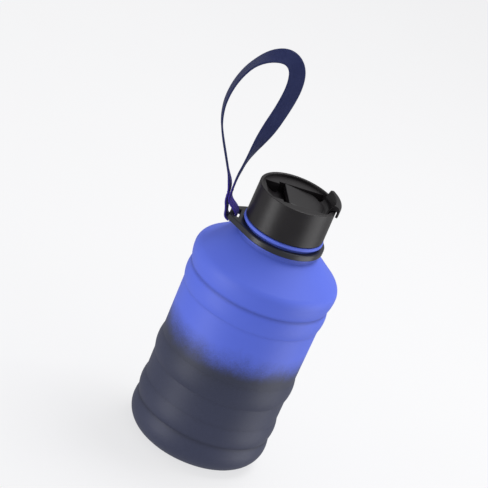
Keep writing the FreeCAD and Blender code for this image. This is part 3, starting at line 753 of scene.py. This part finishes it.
def smooth_line(control: Sequence[Vector], resolution: int) -> list[Vector]:
    """Points along a smooth open curve with these control points.

    Args:
        control: The control points.
        resolution: Points between two of them.

    Returns:
        The points, in order.
    """
    curve = bpy.data.curves.new("route", "CURVE")
    curve.dimensions = "3D"
    curve.resolution_u = resolution
    spline = curve.splines.new("NURBS")
    spline.points.add(len(control) - 1)
    for knot, point in zip(spline.points, control, strict=True):
        knot.co = (*point, 1.0)
    spline.order_u = 3
    spline.use_endpoint_u = True
    holder = bpy.data.objects.new("route", curve)
    bpy.context.scene.collection.objects.link(holder)
    line = bpy.data.meshes.new_from_object(holder)
    points = [vertex.co.copy() for vertex in line.vertices]
    bpy.data.objects.remove(holder)
    bpy.data.curves.remove(curve)
    bpy.data.meshes.remove(line)
    return points


def even_steps(points: list[Vector], step: float) -> list[Vector]:
    """Points at equal distances along a line.

    Args:
        points: The line's own points.
        step: About how far apart they come out.

    Returns:
        The evenly spaced points, both ends kept.
    """
    gone = [0.0]
    for first, second in zip(points, points[1:]):
        gone.append(gone[-1] + (second - first).length)
    count = max(2, round(gone[-1] / step))
    evened, at = [], 0
    for i in range(count + 1):
        target = gone[-1] * i / count
        while at < len(gone) - 2 and gone[at + 1] < target:
            at += 1
        share = (target - gone[at]) / max(gone[at + 1] - gone[at], 1e-9)
        evened.append(points[at].lerp(points[at + 1], min(share, 1.0)))
    return evened


def eased(share: float) -> float:
    """A step from 0 to 1 that starts and ends gently; the share is held between them."""
    held = min(max(share, 0.0), 1.0)
    return held * held * (3 - 2 * held)


# ---------------------------------------------------------------- sub-assemblies
@dataclass
class Jug:
    """The spun shell, its foot and the threaded sleeve in its neck."""

    coat: AirbrushedCoat = AirbrushedCoat()
    foot_steel: BrushedSteel = BrushedSteel("spun_foot_steel", Brushing.SPUN)
    neck_steel: BrushedSteel = BrushedSteel("turned_neck_steel", Brushing.ROUND)

    def dress(self) -> None:
        """Finish the jug's parts."""
        dress("bottle_shell", self.coat.material())
        dress("base_plate", self.foot_steel.material())
        dress("neck_finish", self.neck_steel.material())


@dataclass
class Cap:
    """The screw cap with its liner and seal, and the folding drink lid with its pin and stopper."""

    plastic: MouldedPlastic = MouldedPlastic(
        "cap_plastic", Colour(19, 16, 18), Colour(74, 70, 75), 0.40)
    lid_plastic: MouldedPlastic = MouldedPlastic(
        "lid_plastic", Colour(16, 14, 16), Colour(78, 74, 79), 0.36)
    liner_plastic: MouldedPlastic = MouldedPlastic(
        "liner_plastic", Colour(60, 60, 62), Colour(104, 104, 106), 0.48)
    pin_steel: BrushedSteel = BrushedSteel("hinge_pin_steel", Brushing.ROUND, lines=5200.0)
    seal_rubber: Silicone = Silicone("seal_silicone", Colour(196, 198, 200), Colour(226, 226, 224))
    stopper_rubber: Silicone = Silicone("stopper_silicone", Colour(58, 58, 62), Colour(92, 92, 96))

    def dress(self) -> None:
        """Finish the cap's and the lid's parts."""
        dress("screw_cap", self.plastic.material())
        dress("flip_lid", self.lid_plastic.material())
        dress("cap_liner", self.liner_plastic.material())
        dress("lid_hinge_pin", self.pin_steel.material())
        dress("cap_seal", self.seal_rubber.material())
        dress("spout_stopper", self.stopper_rubber.material())


@dataclass
class Collar:
    """The ring that turns on the neck and carries the strap's ear."""

    plastic: MouldedPlastic = MouldedPlastic(
        "collar_plastic", Colour(24, 24, 30), Colour(88, 88, 96), 0.34, specular=0.6)

    def dress(self) -> None:
        """Finish the collar."""
        dress("strap_collar", self.plastic.material())


@dataclass(frozen=True)
class Turn:
    """How far the strap's face has turned about its own run, at a share of its length."""

    share: float
    degrees: float


@dataclass
class Strap:
    """Woven band looped through the collar's ear and sewn to itself above it."""

    width: float = 12.0 * MM
    thickness: float = 1.4 * MM
    real_length: float = STRAP_LENGTH
    step: float = 0.6 * MM
    curve_steps: int = 12
    edge_points: int = 5
    face_points: int = 9
    selvedge: float = 0.12 * MM
    selvedge_share: float = 0.25
    rib: float = 0.05 * MM
    band: WovenYarn = WovenYarn(
        "webbing_navy", Colour(26, 38, 96), Colour(66, 34, 176), Colour(70, 82, 134), length=STRAP_LENGTH)
    thread: WovenYarn = WovenYarn(
        "tack_thread", Colour(34, 40, 104), Colour(34, 40, 104), Colour(96, 104, 160), ends=5200.0,
        picks=2600.0, slant=1.0, depth=0.05 * MM)
    # Control points as (outward, up) from the ear's bar: under it, up the outer side, round the loop and
    # back through the slot.
    route: tuple[tuple[float, float], ...] = (
        (-0.0002, -0.0038), (-0.0037, -0.0038), (-0.0054, 0.0042), (-0.0079, 0.0090), (-0.0081, 0.0175),
        (-0.0144, 0.0288), (-0.0211, 0.0404), (-0.0277, 0.0517), (-0.0328, 0.0624), (-0.0356, 0.0769),
        (-0.0338, 0.0941), (-0.0277, 0.1099), (-0.0180, 0.1208), (-0.0066, 0.1253), (0.0021, 0.1200),
        (0.0053, 0.1078), (0.0044, 0.0920), (0.0013, 0.0733), (-0.0027, 0.0537), (-0.0057, 0.0373),
        (-0.0065, 0.0261), (-0.0064, 0.0175), (-0.0061, 0.0090), (0.0032, 0.0036), (0.0036, -0.0038),
        (0.0002, -0.0038),
    )
    turns: tuple[Turn, ...] = (
        Turn(0.0, 0.0), Turn(0.09, 0.0), Turn(0.13, 11.0), Turn(0.42, 11.0), Turn(0.58, 68.0),
        Turn(0.70, 62.0), Turn(0.85, 5.0), Turn(0.90, 0.0), Turn(1.0, 0.0),
    )

    def bar(self) -> Vector:
        """The axis of the ear's bar, which the strap swings on."""
        return Vector(next(joint["pos_m"] for joint in frame["joints"] if joint["name"] == "strap_swing"))

    def line(self) -> list[Vector]:
        """Evenly spaced points along the strap's middle."""
        control = [self.bar() + Vector((across, 0.0, up)) for across, up in self.route]
        return even_steps(smooth_line(control, self.curve_steps), self.step)

    def turn_at(self, share: float) -> float:
        """How far the strap's face has turned at a place along it.

        Args:
            share: The place, as a share of the strap's length.

        Returns:
            The turn, in radians.
        """
        for before, after in zip(self.turns, self.turns[1:]):
            if share <= after.share:
                between = eased((share - before.share) / (after.share - before.share))
                return math.radians(before.degrees + (after.degrees - before.degrees) * between)
        return math.radians(self.turns[-1].degrees)

    def frames(self, line: list[Vector]) -> list[tuple[Vector, Vector, Vector]]:
        """Which way the strap faces along its line.

        Args:
            line: Points along the strap's middle.

        Returns:
            For each point: the point, the way across the strap and the way out of its face.
        """
        found = []
        for i, point in enumerate(line):
            run = (line[min(i + 1, len(line) - 1)] - line[max(i - 1, 0)]).normalized()
            across = Matrix.Rotation(self.turn_at(i / (len(line) - 1)), 3, run) @ Vector((0.0, 1.0, 0.0))
            across = (across - run * across.dot(run)).normalized()
            found.append((point, across, run.cross(across).normalized()))
        return found

    def section(self) -> list[tuple[float, float, float]]:
        """The band's cross-section, with rounded, slightly thicker selvedges.

        Returns:
            Its corners in order, each as (across, out, way round so far).
        """
        half, thick = self.width / 2, self.thickness / 2
        flat = half - thick
        corners = []
        for side in (1, -1):
            for i in range(self.face_points):
                at = side * flat * (2 * i / (self.face_points - 1) - 1)
                bulge = self.selvedge * max(0.0, 1 - (1 - abs(at) / flat) / self.selvedge_share)
                corners.append((at, side * (thick - self.selvedge + bulge)))
            for i in range(1, self.edge_points):
                angle = math.pi * (0.5 - i / self.edge_points)
                corners.append((side * (flat + thick * math.cos(angle)), side * thick * math.sin(angle)))
        way, section = 0.0, []
        for i, (across, out) in enumerate(corners):
            if i:
                way += math.dist((across, out), corners[i - 1])
            section.append((across, out, way))
        return section

    def make_band(self, line: list[Vector]) -> bpy.types.Object:
        """Sweep the band along its line, with a fine crosswise rib where the picks lie.

        Args:
            line: Points along the strap's middle.

        Returns:
            The band.
        """
        section = self.section()
        closing = section[-1][2] + math.dist(section[-1][:2], section[0][:2])
        rings, uvs = [], []
        for i, (point, across, out) in enumerate(self.frames(line)):
            swell = 1 + self.rib / self.thickness * (1 if i % 2 else -1)
            rings.append([point + across * a + out * (o * swell) for a, o, _ in section])
            uvs.append([(way, i * self.step) for _, _, way in section] + [(closing, i * self.step)])
        return swept_mesh("woven_strap", rings, uvs, self.band.material())

    def make(self) -> None:
        line = self.line()
        strap = self.make_band(line)
        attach(strap, "strap")
        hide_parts("carry_strap")
        tacks = self.make_tacks(line)
        LOG.info("wove %s, %.1f mm long, with %d bar tacks", strap.name, (len(line) - 1) * self.step / MM,
                 len(tacks))

    def make_tacks(self, line: list[Vector]) -> list[bpy.types.Object]:
        """Zigzag bar tacks on both faces of the sewn stretch, where the plain ones lie.

        Args:
            line: Points along the strap's middle.

        Returns:
            The tacks.
        """
        low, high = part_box("strap_stitching")
        tacks: list[bpy.types.Object] = []
        pattern = Tack()
        thread = self.thread.material()
        frames = self.frames(line)
        levels = (("low", low.z + pattern.height / 2), ("high", high.z - pattern.height / 2))
        half = len(frames) // 2
        for side, outward, stretch in (("outer", -1, frames[:half]), ("inner", 1, frames[half:])):
            for level, height in levels:
                at, across, out = min(stretch, key=lambda held: abs(held[0].z - height))
                face = out * math.copysign(1, out.x) * outward
                tack = pattern.make(f"bar_tack_{side}_{level}", at + face * (self.thickness / 2), across,
                                    face, thread)
                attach(tack, "strap")
                tacks.append(tack)
        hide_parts("strap_stitching")
        return tacks


@dataclass
class Tack:
    """One bar tack: a dense zigzag of heavy thread across the strap."""

    length: float = 9.0 * MM
    height: float = 1.6 * MM
    thread: float = 0.32 * MM
    zigzags: int = 15
    sides: int = 8
    lift: float = 0.06 * MM
    curve_steps: int = 4

    def make(self, name: str, middle: Vector, across: Vector, out: Vector,
             material: bpy.types.Material) -> bpy.types.Object:
        """Lay the thread on the strap's face.

        Args:
            name: The tack's name.
            middle: Its middle, on the face.
            across: The way across the strap.
            out: The way out of the face.
            material: The thread's finish.

        Returns:
            The tack.
        """
        along = out.cross(across).normalized()
        reach = (self.height - self.thread) / 2
        control = []
        for i in range(2 * self.zigzags + 1):
            side = 1 if i % 2 else -1
            at = (i / (2 * self.zigzags) - 0.5) * self.length
            control.append(middle + across * at + along * (side * reach) + out * self.lift)
        path = smooth_line(control, self.curve_steps)
        rings, uvs = [], []
        gone = 0.0
        for i, point in enumerate(path):
            run = (path[min(i + 1, len(path) - 1)] - path[max(i - 1, 0)]).normalized()
            side = out.cross(run).normalized()
            gone += (point - path[max(i - 1, 0)]).length
            ring, marks = [], []
            for j in range(self.sides + 1):
                angle = 2 * math.pi * j / self.sides
                ring.append(point + (side * math.cos(angle) + out * math.sin(angle)) * (self.thread / 2))
                marks.append((j / self.sides * math.pi * self.thread, gone))
            rings.append(ring[:-1])
            uvs.append(marks)
        return swept_mesh(name, rings, uvs, material)


# ---------------------------------------------------------------- studio
@dataclass(frozen=True)
class Softbox:
    """A large soft light aimed at the jug."""

    name: str
    place: tuple[float, float, float]
    width: float
    height: float
    power: float
    aim: tuple[float, float, float] = (0.0, 0.0, 0.05)
    lights_floor: bool = False

    def make(self, floor: bpy.types.Object) -> None:
        """Hang the light, flagged off the floor unless it is meant to light it.

        Args:
            floor: The studio's floor.
        """
        light = bpy.data.lights.new(self.name, "AREA")
        light.shape = "RECTANGLE"
        light.size = self.width
        light.size_y = self.height
        light.energy = self.power
        holder = bpy.data.objects.new(self.name, light)
        holder.location = self.place
        throw = Vector(self.aim) - Vector(self.place)
        holder.rotation_euler = throw.to_track_quat("-Z", "Y").to_euler()
        bpy.context.scene.collection.objects.link(holder)
        if not self.lights_floor:
            flagged = bpy.data.collections.new(self.name + "_flag")
            flagged.objects.link(floor)
            flagged.collection_objects[0].light_linking.link_state = "EXCLUDE"
            holder.light_linking.receiver_collection = flagged
        LOG.info("hung %s", self.name)


@dataclass
class Studio:
    """Pale floor, soft lights and the camera, which is tilted so that the upright jug seems to lean."""

    camera_aim: tuple[float, float, float] = (-0.0212, 0.0, 0.1580)
    camera_distance: float = 2.5
    camera_down: float = 24.3
    camera_roll: float = 23.6
    lens: float = 261.5
    sensor: float = 36.0
    near_clip: float = 0.01
    floor_half: float = 14.0
    floor_tone: Colour = Colour(154, 154, 155)
    floor_mottle: Colour = Colour(151, 151, 152)
    mottle_patches: float = 6.0
    glow: float = 0.77
    room: Colour = Colour(245, 245, 246)
    room_light: float = 0.42
    lights: tuple[Softbox, ...] = (
        Softbox("left_softbox", (-0.61, -0.51, 0.05), 0.34, 1.1, 3.6),
        Softbox("right_softbox", (0.79, -0.06, 0.05), 0.66, 1.1, 3.9),
        Softbox("top_softbox", (0.28, 0.30, 1.1), 0.6, 0.6, 6.0, lights_floor=True),
    )

    def make_floor(self) -> bpy.types.Object:
        """Lay the floor, which only the camera sees, so that it doesn't tint the jug.

        Returns:
            The floor.
        """
        half = self.floor_half
        corners = [(-half, -half, 0.0), (half, -half, 0.0), (half, half, 0.0), (-half, half, 0.0)]
        mesh = bpy.data.meshes.new("studio_floor")
        mesh.from_pydata(corners, [], [(0, 1, 2, 3)])
        material, bench, shader = new_material("studio_floor_paper")
        mottle = bench.noise(bench.place(), self.mottle_patches, detail=3.0)
        paper = bench.blend(mottle, self.floor_tone.linear, self.floor_mottle.linear)
        bench.feed(shader.inputs["Base Color"], paper)
        shader.inputs["Emission Color"].default_value = self.room.linear
        shader.inputs["Emission Strength"].default_value = self.glow
        shader.inputs["Roughness"].default_value = 0.9
        shader.inputs["Specular IOR Level"].default_value = 0.0
        mesh.materials.append(material)
        floor = bpy.data.objects.new("studio_floor", mesh)
        bpy.context.scene.collection.objects.link(floor)
        floor.visible_glossy = False
        floor.visible_diffuse = False
        floor.visible_shadow = False
        return floor

    def make_camera(self) -> None:
        """Set up the camera in front of the jug, looking down at it and rolled to one side."""
        camera = bpy.data.cameras.new("studio_camera")
        camera.lens = self.lens
        camera.sensor_width = self.sensor
        camera.clip_start = self.near_clip
        holder = bpy.data.objects.new("studio_camera", camera)
        tilt = Matrix.Rotation(math.radians(90 - self.camera_down), 4, "X")
        roll = Matrix.Rotation(math.radians(self.camera_roll), 4, "Z")
        back = tilt @ Vector((0.0, 0.0, self.camera_distance))
        holder.matrix_world = Matrix.Translation(Vector(self.camera_aim) + back) @ tilt @ roll
        bpy.context.scene.collection.objects.link(holder)
        bpy.context.scene.camera = holder

    def make(self) -> None:
        """Build the studio."""
        floor = self.make_floor()
        self.make_camera()
        for light in self.lights:
            light.make(floor)
        world = bpy.data.worlds.new("studio_room")
        world.use_nodes = True
        bench = Bench(world.node_tree)
        backdrop = world.node_tree.nodes["Background"]
        backdrop.inputs["Color"].default_value = self.room.linear
        seen = bench.add("ShaderNodeLightPath").outputs["Is Camera Ray"]
        bench.feed(backdrop.inputs["Strength"], bench.spread(seen, 0.0, 1.0, self.room_light, 1.0))
        bpy.context.scene.world = world
        bpy.context.scene.view_settings.view_transform = "Standard"


def main() -> None:
    """Build and dress the jug, piece by piece, in the studio."""
    logging.basicConfig(level=logging.INFO, format="%(message)s")
    Studio().make()
    Strap().make()
    Jug().dress()
    Collar().dress()
    Cap().dress()


if __name__ == "__main__":
    main()
